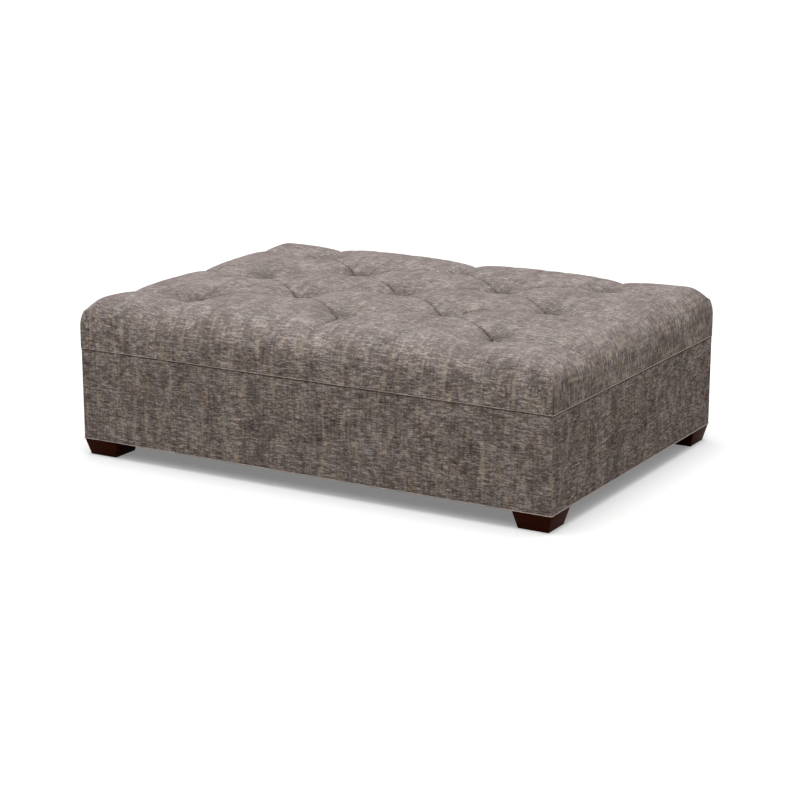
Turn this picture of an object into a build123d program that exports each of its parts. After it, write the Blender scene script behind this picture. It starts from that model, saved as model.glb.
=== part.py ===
from build123d import *
import math
import os

# Ottoman coffee table: a low upholstered box on four block feet, with a diamond-tufted padded top.
# The long side runs along X, the front faces -Y, +Z is up, and the origin is on the floor under
# the middle. All lengths are in millimetres.

# The whole object
length = 1371.6
width = 965.2
seam_height = 289.5
foot_height = 44.3
corner_radius = 5.0

# Padding inside the top
foam_height = 95.0
foam_edge_radius = 40.0
padding_corner_radius = 26.0
wrap_thickness = 8.0
tuft_cover_thickness = 12.0
tuft_hole_radius = 10.0

# Tufted top. Rows of long_row_tuft_count tufts alternate with rows of one less.
long_row_tuft_count = 3
column_tuft_count = 3
pillow_rise = 25.5
edge_roll_width = 86.0
edge_roll_drop = 56.0
roll_power = 2.15
crease_share = 0.68
fold_power = 0.85
pleat_depth_share = 0.6
pitch_station_count = 8
edge_station_shares = (0.012, 0.07, 0.2, 0.42, 0.7)
least_edge_inset = 1.0
tuft_half_width = 4.0
least_bow = 0.35

# Upholstery of the body
fabric_thickness = 1.5
body_set_in = 2.0
side_pad_thickness = 8.0
tack_strip_thickness = 1.0
tack_strip_height = 12.0
seam_welt_height = 3.0
seam_welt_proud = 0.9
hem_welt_height = 3.0
hem_welt_proud = 1.9
welt_bevel = 0.9
dust_cover_thickness = 0.8
dust_cover_margin = 4.0

# Frame
rail_thickness = 19.0
deck_thickness = 18.0
deck_hole_radius = 6.0
cross_rail_height = 90.0
cross_rail_place_share = 0.5
corner_block_side = 72.0
corner_block_cut = 38.0
corner_block_height = 64.0

# Feet and their fixings
foot_top_side = 103.7
foot_taper = 11.2
bolt_radius = 4.0
bolt_length = 94.0
bolt_depth_in_foot = 30.0
bolt_clearance = 0.5
tee_nut_barrel_radius = 5.2
tee_nut_barrel_length = 12.0
tee_nut_flange_side = 20.0
tee_nut_flange_thickness = 1.6

# Tuft ties
twine_radius = 1.2
knot_radius = 2.8
knot_length = 5.0
toggle_length = 30.0
toggle_width = 10.0
toggle_thickness = 5.0

# Screws that hold the deck down to the rails
screw_radius = 2.1
screw_length = 42.0
screw_head_radius = 4.2
long_rail_screw_count = 3
short_rail_screw_count = 2

# Small round pieces and their holes are drawn as prisms with few sides
bolt_side_count = 8
hole_side_count = 8
thin_side_count = 6

# Levels and outlines that follow from the sizes above
pitch_x = length / (2 * long_row_tuft_count)
pitch_y = width / (2 * column_tuft_count)
outer_column = long_row_tuft_count - 1
outer_row = column_tuft_count - 1
wrap_top = seam_height + foam_height + wrap_thickness
tuft_height = wrap_top + tuft_cover_thickness
wall_height = tuft_height - edge_roll_drop
deck_under = seam_height - deck_thickness
frame_bottom = foot_height + dust_cover_thickness
body_half_x = length / 2 - body_set_in
body_half_y = width / 2 - body_set_in
rail_set_in = fabric_thickness + side_pad_thickness
rail_half_x = body_half_x - rail_set_in
rail_half_y = body_half_y - rail_set_in
rail_inner_x = rail_half_x - rail_thickness
rail_inner_y = rail_half_y - rail_thickness
cross_rail_x = cross_rail_place_share * length / 2
corner_names = {
    (-1, -1): "front_left",
    (1, -1): "front_right",
    (-1, 1): "back_left",
    (1, 1): "back_right",
}
foot_centre_x = body_half_x - foot_top_side / 2
foot_centre_y = body_half_y - foot_top_side / 2
foot_places = [(sx * foot_centre_x, sy * foot_centre_y) for sx, sy in corner_names]


def write(name, solid):
    """Name a piece and write its STEP file."""
    solid.label = name
    export_step(solid, os.path.join("parts", name + ".step"))


def slab(half_x, half_y, bottom, top):
    """A plain rectangular block centred on the Z axis."""
    block = Box(2 * half_x, 2 * half_y, top - bottom, align=(Align.CENTER, Align.CENTER, Align.MIN))
    return Pos(0, 0, bottom) * block


def rounded_slab(half_x, half_y, radius, bottom, top):
    """A block centred on the Z axis with rounded upright corners, or square ones where no radius is left."""
    if radius <= 0:
        return slab(half_x, half_y, bottom, top)
    return Pos(0, 0, bottom) * extrude(RectangleRounded(2 * half_x, 2 * half_y, radius), top - bottom)


def body_slab(set_in, bottom, top):
    """A block with the body's outline, drawn in by a distance."""
    return rounded_slab(body_half_x - set_in, body_half_y - set_in, corner_radius - set_in, bottom, top)


def board(x_range, y_range, z_range):
    """A sawn board given by its lowest and highest corners."""
    size = [high - low for low, high in (x_range, y_range, z_range)]
    corner = Pos(x_range[0], y_range[0], z_range[0])
    return corner * Box(*size, align=(Align.MIN, Align.MIN, Align.MIN))


def band(set_in, thickness, bottom, top):
    """A band round the body, inwards from an outline that is set in from the body's own."""
    return body_slab(set_in, bottom, top) - body_slab(set_in + thickness, bottom, top)


def welt(proud, bottom, top):
    """A thin folded edge of fabric that stands proud of the body's panels."""
    outer = body_slab(-proud, bottom, top)
    rims = outer.faces().sort_by(Axis.Z)
    outer = chamfer(rims[0].edges() + rims[-1].edges(), welt_bevel)
    return outer - body_slab(0, bottom, top)


def side_wedge(side):
    """The space that belongs to one side of the body, cut at 45 degrees through its upright corners."""
    x, y = body_half_x, body_half_y
    ridge = x - y
    outlines = {
        "front": [(-x, -y), (x, -y), (ridge, 0), (-ridge, 0)],
        "back": [(x, y), (-x, y), (-ridge, 0), (ridge, 0)],
        "left": [(-x, y), (-x, -y), (-ridge, 0)],
        "right": [(x, -y), (x, y), (ridge, 0)],
    }
    return extrude(make_face(Polyline(*outlines[side], close=True)), seam_height)


def fill(p, q):
    """How full the padding stands: 0 at a tuft, 1 on a pillow. p and q are 0 on the two sets of creases."""
    p, q = p**fold_power, q**fold_power
    along_crease = 1 - (1 - p) * (1 - q)
    return crease_share * along_crease + (1 - crease_share) * p * q


def pillow(a, b):
    """The fill at a and b tuft pitches along X and Y from the middle."""
    out_a, out_b = max(abs(a) - outer_column, 0), max(abs(b) - outer_row, 0)
    a, b = a + outer_column, b + outer_row
    if out_a == 0 and out_b == 0:
        return fill(abs(math.sin(math.pi * (a + b) / 2)), abs(math.sin(math.pi * (a - b) / 2)))
    across_a, across_b = abs(math.sin(math.pi * a / 2)), abs(math.sin(math.pi * b / 2))
    low_a = (1 - fill(across_a, across_a)) * (1 - (1 - pleat_depth_share) * min(out_b, 1))
    low_b = (1 - fill(across_b, across_b)) * (1 - (1 - pleat_depth_share) * min(out_a, 1))
    if out_a == 0:
        return 1 - low_a
    if out_b == 0:
        return 1 - low_b
    return 1 - low_a - low_b + low_a * low_b


def roll(distance):
    """How far the edge has risen at a distance in from it: 0 at the wall, 1 past the roll."""
    t = min(max(1 - distance / edge_roll_width, 0), 1)
    return (1 - t**roll_power) ** (1 / roll_power)


def top_height(x, y):
    """Height of the tufted surface."""
    full = tuft_height + pillow_rise * pillow(x / pitch_x, y / pitch_y)
    return wall_height + (full - wall_height) * roll(min(length / 2 - abs(x), width / 2 - abs(y)))


def crease_offset(x):
    """Distance along Y from a row of tufts to the creases that leave it, at this place along X."""
    a = abs(x) / pitch_x + outer_column
    if a > 2 * outer_column:
        return tuft_half_width
    along = abs(a - 2 * round(a / 2)) * pitch_y
    return min(max(along, tuft_half_width), pitch_y - tuft_half_width)


def bowed(x, y0, z0, y1, z1, y, z):
    """One stretch of padding: an arc from its start to its end that bows up through its crown."""
    chord = z0 + (z1 - z0) * (y - y0) / (y1 - y0)
    return ThreePointArc((x, y0, z0), (x, y, max(z, chord + least_bow)), (x, y1, z1))


def edge_inset(x):
    """How wide the rolled edge of a section is: all of it, or as far as the mitre near an upright corner."""
    return min(max(length / 2 - abs(x), least_edge_inset), edge_roll_width)


def edge_arc(x, start, end_height, toward):
    """The rolled edge of one section: an arc that leaves the wall upright and turns in over the padding."""
    inset = edge_inset(x)
    rise = end_height - wall_height
    radius = (inset**2 + rise**2) / (2 * inset)
    half_turn = math.atan2(rise, radius - inset) / 2
    middle = start + toward * radius * (1 - math.cos(half_turn))
    points = [(x, start, wall_height), (x, middle, wall_height + radius * math.sin(half_turn))]
    points.append((x, start + toward * inset, end_height))
    return ThreePointArc(*(points if toward > 0 else reversed(points)))


def cushion_section(x):
    """The closed outline of the tufted top across X."""
    corner = max(corner_radius - (length / 2 - abs(x)), 0)
    half = width / 2 - corner_radius + math.sqrt(corner_radius**2 - corner**2)
    crease = crease_offset(x)
    rows = [pitch_y * j for j in range(-outer_row, outer_row + 1, 2)]
    creases = [y for row in rows for y in (row - crease, row + crease)]
    inset = edge_inset(x)
    breaks = [inset - half] + creases[1:-1] + [half - inset]
    heights = [top_height(x, y) for y in breaks]
    edges = [Line((x, -half, seam_height), (x, -half, wall_height)), edge_arc(x, -half, heights[0], 1)]
    for k, (y0, y1) in enumerate(zip(breaks, breaks[1:])):
        y = (y0 + y1) / 2
        edges.append(bowed(x, y0, heights[k], y1, heights[k + 1], y, top_height(x, y)))
    edges.append(edge_arc(x, half, heights[-1], -1))
    edges.append(Line((x, half, wall_height), (x, half, seam_height)))
    edges.append(Line((x, half, seam_height), (x, -half, seam_height)))
    return Wire(edges)


def cushion():
    """The tufted top as one loft along X, with its creases, pleats and rolled edges."""
    end = length / 2
    steps = outer_column * pitch_station_count
    inner = [pitch_x * k / pitch_station_count for k in range(-steps, steps + 1)]
    border_step = (end - edge_roll_width - inner[-1]) / 2
    border = [inner[-1] + border_step * k for k in (1, 2)]
    border += [end - share * edge_roll_width for share in reversed(edge_station_shares)]
    stations = [-x for x in reversed(border)] + inner + border
    stations = [-end] + stations + [end]
    return Solid.make_loft([cushion_section(x) for x in stations], ruled=True)


def tuft_places():
    """The middle of each tuft, in rows that alternate."""
    places = []
    for j in range(-outer_row, outer_row + 1):
        for i in range(-outer_column, outer_column + 1):
            if (i + outer_column) % 2 == (j + outer_row) % 2:
                places.append((i * pitch_x, j * pitch_y))
    return places


def rod(radius, sides, bottom, top):
    """An upright prism on the Z axis."""
    return Pos(0, 0, bottom) * extrude(RegularPolygon(radius, sides), top - bottom)


def at_places(places, solid):
    """Copies of a solid at each place in plan."""
    return [Pos(x, y, 0) * solid for x, y in places]


def make_feet():
    """Four tapered block feet, bored from above for their bolts."""
    top, bottom = foot_top_side / 2, foot_top_side / 2 - foot_taper
    profile = Polyline((-bottom, 0), (bottom, 0), (top, foot_height), (-top, foot_height), close=True)
    prism = extrude(Plane.XZ * make_face(profile), top, both=True)
    block = prism & Rot(0, 0, 90) * prism
    block -= rod(bolt_radius, bolt_side_count, foot_height - bolt_depth_in_foot, foot_height)
    for (sx, sy), name in corner_names.items():
        write("foot_" + name, Pos(sx * foot_centre_x, sy * foot_centre_y, 0) * block)


def tee_nut_barrel(block_top):
    """The stem of a tee nut, let into the top of its corner block."""
    return rod(tee_nut_barrel_radius, bolt_side_count, block_top - tee_nut_barrel_length, block_top)


def make_fixings():
    """A hanger bolt in each foot, and the tee nut that it screws into on top of the corner block."""
    bolt_bottom = foot_height - bolt_depth_in_foot
    bolt = rod(bolt_radius, bolt_side_count, bolt_bottom, bolt_bottom + bolt_length)
    write("hanger_bolts", Compound(at_places(foot_places, bolt)))
    block_top = frame_bottom + corner_block_height
    flange = Box(tee_nut_flange_side, tee_nut_flange_side, tee_nut_flange_thickness)
    nut = tee_nut_barrel(block_top) + Pos(0, 0, block_top + tee_nut_flange_thickness / 2) * flange
    nut -= rod(bolt_radius, bolt_side_count, frame_bottom, block_top + tee_nut_flange_thickness)
    write("tee_nuts", Compound(at_places(foot_places, nut)))


def make_corner_blocks():
    """A wood block glued in each bottom corner of the frame, which takes the foot's bolt."""
    side, cut = corner_block_side, corner_block_cut
    top = frame_bottom + corner_block_height
    outline = [(0, 0), (-side, 0), (-side, -(side - cut)), (-(side - cut), -side), (0, -side)]
    block = extrude(make_face(Polyline(*outline, close=True)), corner_block_height)
    for (sx, sy), name in corner_names.items():
        solid = block
        if sx < 0:
            solid = mirror(solid, Plane.YZ)
        if sy < 0:
            solid = mirror(solid, Plane.XZ)
        solid = Pos(sx * rail_inner_x, sy * rail_inner_y, frame_bottom) * solid
        bore = rod(bolt_radius + bolt_clearance, bolt_side_count, frame_bottom, top) + tee_nut_barrel(top)
        solid -= Pos(sx * foot_centre_x, sy * foot_centre_y, 0) * bore
        write("corner_block_" + name, solid)


def deck_screw_places():
    """Where the screws go down through the deck, evenly along the middle of each rail."""
    places = []
    for k in range(long_rail_screw_count):
        along = rail_half_x * ((2 * k + 1) / long_rail_screw_count - 1)
        places += [(along, side * (rail_half_y - rail_thickness / 2)) for side in (-1, 1)]
    for k in range(short_rail_screw_count):
        along = rail_half_y * ((2 * k + 1) / short_rail_screw_count - 1)
        places += [(side * (rail_half_x - rail_thickness / 2), along) for side in (-1, 1)]
    return places


def deck_screw():
    """A flat-headed screw whose head is flush with the top of the deck."""
    neck = seam_height - (screw_head_radius - screw_radius)
    shank = Pos(0, 0, neck) * RegularPolygon(screw_radius, thin_side_count)
    head = Pos(0, 0, seam_height) * RegularPolygon(screw_head_radius, thin_side_count)
    screw = rod(screw_radius, thin_side_count, seam_height - screw_length, neck)
    return screw + loft([shank, head], ruled=True)


def make_frame():
    """Four rails, two cross rails with a brace between them, and the plywood deck on top."""
    screws = at_places(deck_screw_places(), deck_screw())
    height = (frame_bottom, deck_under)
    rails = {
        "front_rail": board((-rail_half_x, rail_half_x), (-rail_half_y, -rail_inner_y), height),
        "back_rail": board((-rail_half_x, rail_half_x), (rail_inner_y, rail_half_y), height),
        "left_rail": board((-rail_half_x, -rail_inner_x), (-rail_inner_y, rail_inner_y), height),
        "right_rail": board((rail_inner_x, rail_half_x), (-rail_inner_y, rail_inner_y), height),
    }
    for name, rail in rails.items():
        write(name, rail - screws)
    upper = (deck_under - cross_rail_height, deck_under)
    for side, name in ((-1, "left_cross_rail"), (1, "right_cross_rail")):
        centre = side * cross_rail_x
        across = (centre - rail_thickness / 2, centre + rail_thickness / 2)
        write(name, board(across, (-rail_inner_y, rail_inner_y), upper))
    between = cross_rail_x - rail_thickness / 2
    brace_y = pitch_y / 2
    write("centre_brace", board((-between, between), (brace_y, brace_y + rail_thickness), upper))
    deck = body_slab(fabric_thickness + tack_strip_thickness, deck_under, seam_height)
    deck -= at_places(tuft_places(), rod(deck_hole_radius, hole_side_count, deck_under, seam_height))
    write("top_deck", deck - screws)
    write("deck_screws", Compound(screws))


def make_tuft_ties():
    """The twine that draws each tuft down, and the toggle that holds it under the deck."""
    toggle_bottom = deck_under - toggle_thickness
    twine = rod(twine_radius, thin_side_count, toggle_bottom, wrap_top)
    twine += rod(knot_radius, thin_side_count, toggle_bottom - knot_length, toggle_bottom)
    write("tuft_twines", Compound(at_places(tuft_places(), twine)))
    toggle = slab(toggle_length / 2, toggle_width / 2, toggle_bottom, deck_under)
    toggle -= rod(twine_radius, thin_side_count, toggle_bottom, deck_under)
    write("tuft_toggles", Compound(at_places(tuft_places(), toggle)))


def padding_block(set_in, top, edge_radius):
    """A block of padding inside the cover, with its upright corners and its top edges rounded."""
    half_x, half_y = length / 2 - set_in, width / 2 - set_in
    block = rounded_slab(half_x, half_y, padding_corner_radius - set_in, seam_height, top)
    for axis in (Axis.X, Axis.Y):
        rounded = slab(half_x, half_y, seam_height - edge_radius, top)
        block &= fillet(rounded.edges().filter_by(axis), edge_radius)
    return block


def make_top():
    """The foam, the fibre wrap over it, and the tufted cover with the fibre that fills its pillows."""
    foam = padding_block(fabric_thickness + wrap_thickness, wrap_top - wrap_thickness, foam_edge_radius)
    wrapped = padding_block(fabric_thickness, wrap_top, foam_edge_radius + wrap_thickness)
    holes = at_places(tuft_places(), rod(tuft_hole_radius, hole_side_count, seam_height, wrap_top))
    write("seat_foam", foam - holes)
    write("fibre_wrap", wrapped - foam - holes)
    write("top_cover", cushion() - wrapped)


def make_sides():
    """Padding, tack strip, fabric panels and welts round the body, and the dust cover under it."""
    pads = body_slab(fabric_thickness, foot_height, deck_under)
    pads -= slab(rail_half_x, rail_half_y, foot_height, deck_under)
    panels = band(0, fabric_thickness, foot_height, seam_height)
    for side in ("front", "back", "left", "right"):
        wedge = side_wedge(side)
        write(side + "_pad", pads & wedge)
        write(side + "_panel", panels & wedge)
    strip_bottom = seam_height - tack_strip_height
    write("tack_strip", band(fabric_thickness, tack_strip_thickness, strip_bottom, seam_height))
    seam_out = body_set_in + seam_welt_proud
    write("seam_welt", welt(seam_out, seam_height - seam_welt_height, seam_height))
    write("hem_welt", welt(hem_welt_proud, foot_height, foot_height + hem_welt_height))
    cover_x, cover_y = rail_half_x - dust_cover_margin, rail_half_y - dust_cover_margin
    bolt_hole = rod(bolt_radius + bolt_clearance, bolt_side_count, foot_height, frame_bottom)
    write("dust_cover", slab(cover_x, cover_y, foot_height, frame_bottom) - at_places(foot_places, bolt_hole))


os.makedirs("parts", exist_ok=True)
make_feet()
make_fixings()
make_corner_blocks()
make_frame()
make_tuft_ties()
make_top()
make_sides()
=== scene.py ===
import math

import bpy
import numpy as np
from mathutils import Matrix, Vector


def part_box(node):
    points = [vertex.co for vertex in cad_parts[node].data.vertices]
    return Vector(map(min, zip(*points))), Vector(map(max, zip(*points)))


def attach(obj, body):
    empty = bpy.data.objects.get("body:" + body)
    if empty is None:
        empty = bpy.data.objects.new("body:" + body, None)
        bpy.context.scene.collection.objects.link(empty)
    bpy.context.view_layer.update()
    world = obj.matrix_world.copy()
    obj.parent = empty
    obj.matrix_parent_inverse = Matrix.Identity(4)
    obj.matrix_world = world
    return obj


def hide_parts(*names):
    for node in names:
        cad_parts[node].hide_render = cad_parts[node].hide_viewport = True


# Looks of the tufted ottoman coffee table, in metres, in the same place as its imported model:
# the long side along X, the front facing -Y, +Z up and the floor at zero.
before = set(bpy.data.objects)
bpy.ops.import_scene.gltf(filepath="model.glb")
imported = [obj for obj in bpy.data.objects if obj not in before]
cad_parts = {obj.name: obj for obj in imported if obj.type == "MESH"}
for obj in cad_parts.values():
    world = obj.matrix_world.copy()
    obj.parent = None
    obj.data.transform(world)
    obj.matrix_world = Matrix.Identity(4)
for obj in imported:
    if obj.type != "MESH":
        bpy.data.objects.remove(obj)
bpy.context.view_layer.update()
MM = 0.001

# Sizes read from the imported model. The cloth lies just inside the cover's box and just over the panels.
cover_inset = 0.5 * MM
panel_cover = 0.8 * MM
cover_low, cover_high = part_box("top_cover")
half_length, half_width = cover_high.x - cover_inset, cover_high.y - cover_inset
seam_z = cover_low.z
body_half_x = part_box("right_panel")[1].x + panel_cover
body_half_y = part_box("back_panel")[1].y + panel_cover
hem_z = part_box("front_panel")[0].z
sides = ("front", "right", "back", "left")
tolerance = MM / 10

# Camera: its place, its turn in degrees and its lens in millimetres
camera_place = (2.7055, -4.6552, 1.5279)
camera_turn = (75.433, 0, 30.178)
camera_lens = 94.03

# Light: each lamp's strength, width in degrees and direction. The floor's glow shows to the camera alone.
lamps = (("overhead_softbox", 1.6, 48, (0, 0, 1)),
         ("white_ceiling", 1.56, 120, (0, 0, 1)),
         ("front_softbox", 0.68, 60, (0, -0.5, 1)))
room_light = 0.01
floor_side = 40
floor_white = 0.81
floor_bounce = 0.325
floor_glow = 0.22

# Tufts: rows of three alternate with rows of two, two pitches from one tuft to the next in its row.
# The pleats that run out from them to the edges splay a little and keep a share of their depth.
outer_column, outer_row = 2, 2
pitch_x = 218 * MM
pitch_y = 151 * MM
pleat_splay = 0.03
pleat_depth_share = 0.7

# The tufted surface: the tufts' height from the floor, how far creases and pillows rise above it, how full
# the pillows are, and how the stuffing lies. A tilt or a lift is the rise at the edge.
tuft_height = 407.8 * MM
crease_rise = 17.0 * MM
pillow_rise = 19.7 * MM
fold_power = 0.6
edge_lift_x = -3.9 * MM
edge_lift_y = 1.3 * MM
tilt_x = -3.8 * MM
tilt_y = 6.1 * MM
dome_rise = 6.5 * MM
corner_drop = 2 * MM
back_left_drop = 9 * MM

# The pit that a tie pulls down at each tuft: the height of its bottom, its reach and its steepness
tuft_floor = 393.2 * MM
pit_radius = 36 * MM
pit_power = 1.3

# Lumps in the stuffing: two sets of waves, in radians per metre along X and Y, bent by slower ones.
# They fade out over about a quarter of a pitch before the outer tufts.
uneven_depth = 0.7 * MM
first_lumps = (37, 11)
second_lumps = (-17, 29)
lump_bend = 2
lump_bend_waves = (23, 31)
lump_fade_pitches = 0.25

# Puckers round each tuft, turned and bunched differently from tuft to tuft
pucker_depth = 1.0 * MM
pucker_reach = 30 * MM
puckers_per_tuft = 9
pucker_turn = 2.4
pucker_bunching = 1.5

# The rolled edge, which turns a little tighter and fuller at the mitred corners. The mitre is soft at its
# crest and sharp below: crest_start and crest_end are shares of the drop to the wall.
wall_height = 336 * MM
roll_width = 92 * MM
corner_roll_width = 68 * MM
roll_reach = 480 * MM
roll_power = 2.0
corner_roll_power = 2.7
corner_reach = 120 * MM
mitre_sharpness = 6.0
crest_start, crest_end = 0.06, 0.4

# Pleats between the pillows: a narrow groove that is deepest at the tufts and draws the cloth in
pleat_depth = 10.0 * MM
pleat_width = 2.0 * MM
gather_width = 9.0 * MM
gather_share = 0.35
pleat_fade_power = 0.9

# Shade in the creases and round the tufts, from 0 to 1, which darkens the cloth
crease_line_power = 0.45
crease_line_width = 3.2 * MM
crease_shade = 0.95
tuft_shade = 0.46
tuft_shade_radius = 38 * MM
tuft_shade_shift = (-2 * MM, 8 * MM)

# The cover is laid over its filling a little large, and a cloth simulation settles it. The sheet stops short
# of the edge, its moves stay under sim_reach, and they fade out before its rim. A point is held where it is
# nearer to a tuft, on a scale of 0 to 1, than hold_limit.
sim_columns, sim_rows = 96, 70
sim_margin = 34 * MM
sim_frames = 20
sim_pressure = 4.0
sim_looseness = 0.014
sim_reach = 4.0 * MM
sim_edge_fade = 110 * MM
tuft_hold = 12 * MM
hold_limit = 0.3
least_move = 1e-9

# Seams: a folded lip of the same cloth, with a line of painted shade where the cloth turns in beside it
fold_height = 2.6 * MM
fold_proud = 1.5 * MM
fold_sides = 10
fold_corner_steps = 6
seam_shade = 0.68
cover_seam_shade = seam_shade / 2
hem_shade = 0.4
shade_depth = 1.6 * MM
shade_reach = 4.0 * MM
corner_seam_width = 1.8 * MM
corner_seam_shade = 0.65
corner_seam_top = 396 * MM

# Staples of the dust cover
staple_pitch = 60 * MM
staple_inset = 10 * MM
staple_size = (10 * MM, 1.2 * MM, 1.0 * MM)

# Side panels: thin cloth that swells a little between its seams and is tucked in at the corners
cloth_thickness = 1.5 * MM
panel_swell = 1.2 * MM
panel_tuck = 0.5 * MM
tuck_width = 2.0 * MM
swell_start = 20 * tuck_width
body_radius = 2 * MM

# Feet
foot_bevel = 1.6 * MM
foot_bevel_steps = 3
foot_edge_angle = 35

# Mesh density
cells_per_pitch = 44
roll_cell = 4.5 * MM
roll_samples = 400
wall_cell = 7.5 * MM
panel_cell = 12 * MM
corner_radius = 2 * MM
corner_steps = 7
fold_limit = 0.15 * MM

# Chenille yarns, drawn a little coarser than real ones so that they show. A layer is a yarn's or a patch's
# length across the cloth, its height up the cloth and its strength, and layer_shift keeps layers from lining
# up. The yarns' rows waver this many times to a metre.
yarn_pitch = 2.6 * MM
yarn_waver = 2.0 * MM
wavers_per_metre = 14.0
yarn_layers = ((20 * MM, 1.9 * MM, 0.76), (7 * MM, 1.6 * MM, 0.54))
patch_layers = ((60 * MM, 6 * MM, 0.30), (6.5 * MM, 80 * MM, 0.30), (2.2 * MM, 16 * MM, 0.22),
                (30 * MM, 40 * MM, 0.30), (90 * MM, 150 * MM, 0.26))
beige_layer = 3
layer_shift = (17.3, 5.9)
yarn_relief = 0.8 * MM
yarn_tones = ((0.1, "524846"), (0.5, "948a83"), (0.91, "eadfd6"))

# Chenille's other tones: beige bands and pale warp streaks, both fainter on the top, where the cloth is also
# calmer, then two shades of dye in soft patches, and a painted cooler light on the faces that look up
beige_band = "fff6dc"
pale_streak = "d8cbb4"
streak_width = 21 * MM
streak_length = 130 * MM
streak_shift = (41.7, 2.3, 0)
streak_break = 0.25
top_fade = 0.7
top_calm = 0.45
dyes = ("fff6f8", "fbf9fa")
dyes_per_metre = (30, 22, 1)
dye_shift = (3.1, 8.7, 0)
painted_top_light = "f6faff"

# Other finishes: a fibre of wood is this many times as long as it is wide, and speckles stand this proud
fibre_length = 20
speckle_relief = 0.2 * MM

# Settings that several nodes share
flat_noise = {"noise_dimensions": "2D"}
times_plus = {"operation": "MULTIPLY_ADD"}
colour_mix = {"data_type": "RGBA"}
colour_multiply = {"data_type": "RGBA", "blend_type": "MULTIPLY"}


def srgb(code):
    """The linear colour, with alpha, of an sRGB hex code."""
    parts = [int(code[i:i + 2], 16) / 255 for i in (0, 2, 4)]
    return (*[c / 12.92 if c <= 0.04045 else ((c + 0.055) / 1.055) ** 2.4 for c in parts], 1)


def add_mesh(name, points, faces):
    """A mesh object with smooth faces, at the origin."""
    mesh = bpy.data.meshes.new(name)
    mesh.from_pydata([tuple(p) for p in points], [], faces)
    mesh.shade_smooth()
    mesh.update()
    piece = bpy.data.objects.new(name, mesh)
    bpy.context.scene.collection.objects.link(piece)
    return piece


# Camera and stage

def make_camera():
    """The photograph's viewpoint."""
    camera = bpy.data.objects.new("camera", bpy.data.cameras.new("camera"))
    camera.location = camera_place
    camera.rotation_euler = [math.radians(angle) for angle in camera_turn]
    camera.data.lens = camera_lens
    bpy.context.scene.collection.objects.link(camera)
    bpy.context.scene.camera = camera


def add_node(tree, kind, settings=None, **inputs):
    """Adds a node. Settings are its properties; inputs are values or the sockets that feed it."""
    node = tree.nodes.new(kind)
    for key, value in (settings or {}).items():
        setattr(node, key, value)
    for key, value in inputs.items():
        socket = node.inputs[int(key[1:])] if key[0] == "i" and key[1:].isdigit() else node.inputs[key]
        if isinstance(value, bpy.types.NodeSocket):
            tree.links.new(value, socket)
        else:
            socket.default_value = value
    return node


def new_material(name):
    """An empty node material and its tree."""
    material = bpy.data.materials.new(name)
    material.use_nodes = True
    material.node_tree.nodes.clear()
    return material, material.node_tree


def seen_directly(tree):
    """1 for rays that the camera, a reflection or clear glass sends, and 0 for light that bounces."""
    path = add_node(tree, "ShaderNodeLightPath")
    mirrored = add_node(tree, "ShaderNodeMath", {"operation": "MAXIMUM"}, i0=path.outputs["Is Camera Ray"],
                        i1=path.outputs["Is Glossy Ray"])
    seen = add_node(tree, "ShaderNodeMath", {"operation": "MAXIMUM"}, i0=mirrored.outputs[0],
                    i1=path.outputs["Is Transmission Ray"])
    return seen.outputs[0]


def paper(name):
    """The studio floor: seen directly it is a little lighter, so that it is white but for the shadow."""
    material, tree = new_material(name)
    seen = seen_directly(tree)
    tone = add_node(tree, "ShaderNodeMapRange", Value=seen, **{"To Min": floor_bounce, "To Max": floor_white})
    matt = add_node(tree, "ShaderNodeBsdfDiffuse", Color=tone.outputs[0])
    strength = add_node(tree, "ShaderNodeMath", {"operation": "MULTIPLY"}, i0=seen, i1=floor_glow)
    glow = add_node(tree, "ShaderNodeEmission", Color=srgb("ffffff"), Strength=strength.outputs[0])
    both = add_node(tree, "ShaderNodeAddShader", i0=matt.outputs[0], i1=glow.outputs[0])
    add_node(tree, "ShaderNodeOutputMaterial", i0=both.outputs[0])
    return material


def make_world():
    """A white backdrop where it is seen directly, and a faint even light on the object."""
    world = bpy.data.worlds.new("studio")
    bpy.context.scene.world = world
    world.use_nodes = True
    tree = world.node_tree
    tree.nodes.clear()
    light = add_node(tree, "ShaderNodeBackground", Color=srgb("ffffff"), Strength=room_light)
    backdrop = add_node(tree, "ShaderNodeBackground", Color=srgb("ffffff"), Strength=1.0)
    mixed = add_node(tree, "ShaderNodeMixShader", i0=seen_directly(tree), i1=light.outputs[0],
                     i2=backdrop.outputs[0])
    add_node(tree, "ShaderNodeOutputWorld", i0=mixed.outputs[0])


def make_stage():
    """A pale floor that shows as white but for the object's shadow, and plain soft studio light."""
    bpy.context.scene.view_settings.view_transform = "Standard"
    far = floor_side
    corners = [(-far, -far, 0), (far, -far, 0), (far, far, 0), (-far, far, 0)]
    floor = add_mesh("floor", corners, [(0, 1, 2, 3)])
    # Matt white paper, rolled out smooth: an even white with no gloss, on which a soft shadow shows
    floor.data.materials.append(paper("matt_white_paper"))
    make_world()
    for name, strength, width, place in lamps:
        lamp = bpy.data.objects.new(name, bpy.data.lights.new(name, "SUN"))
        lamp.data.energy = strength
        lamp.data.angle = math.radians(width)
        lamp.rotation_euler = Vector(place).to_track_quat("Z", "Y").to_euler()
        bpy.context.scene.collection.objects.link(lamp)


# Tufted top

def fill(p, q):
    """How far the stuffing rises above a tuft, where p and q run from 0 on a pleat to 1 between pleats."""
    p, q = p ** fold_power, q ** fold_power
    return crease_rise * (1 - (1 - p) * (1 - q)) + (pillow_rise - crease_rise) * p * q


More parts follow.
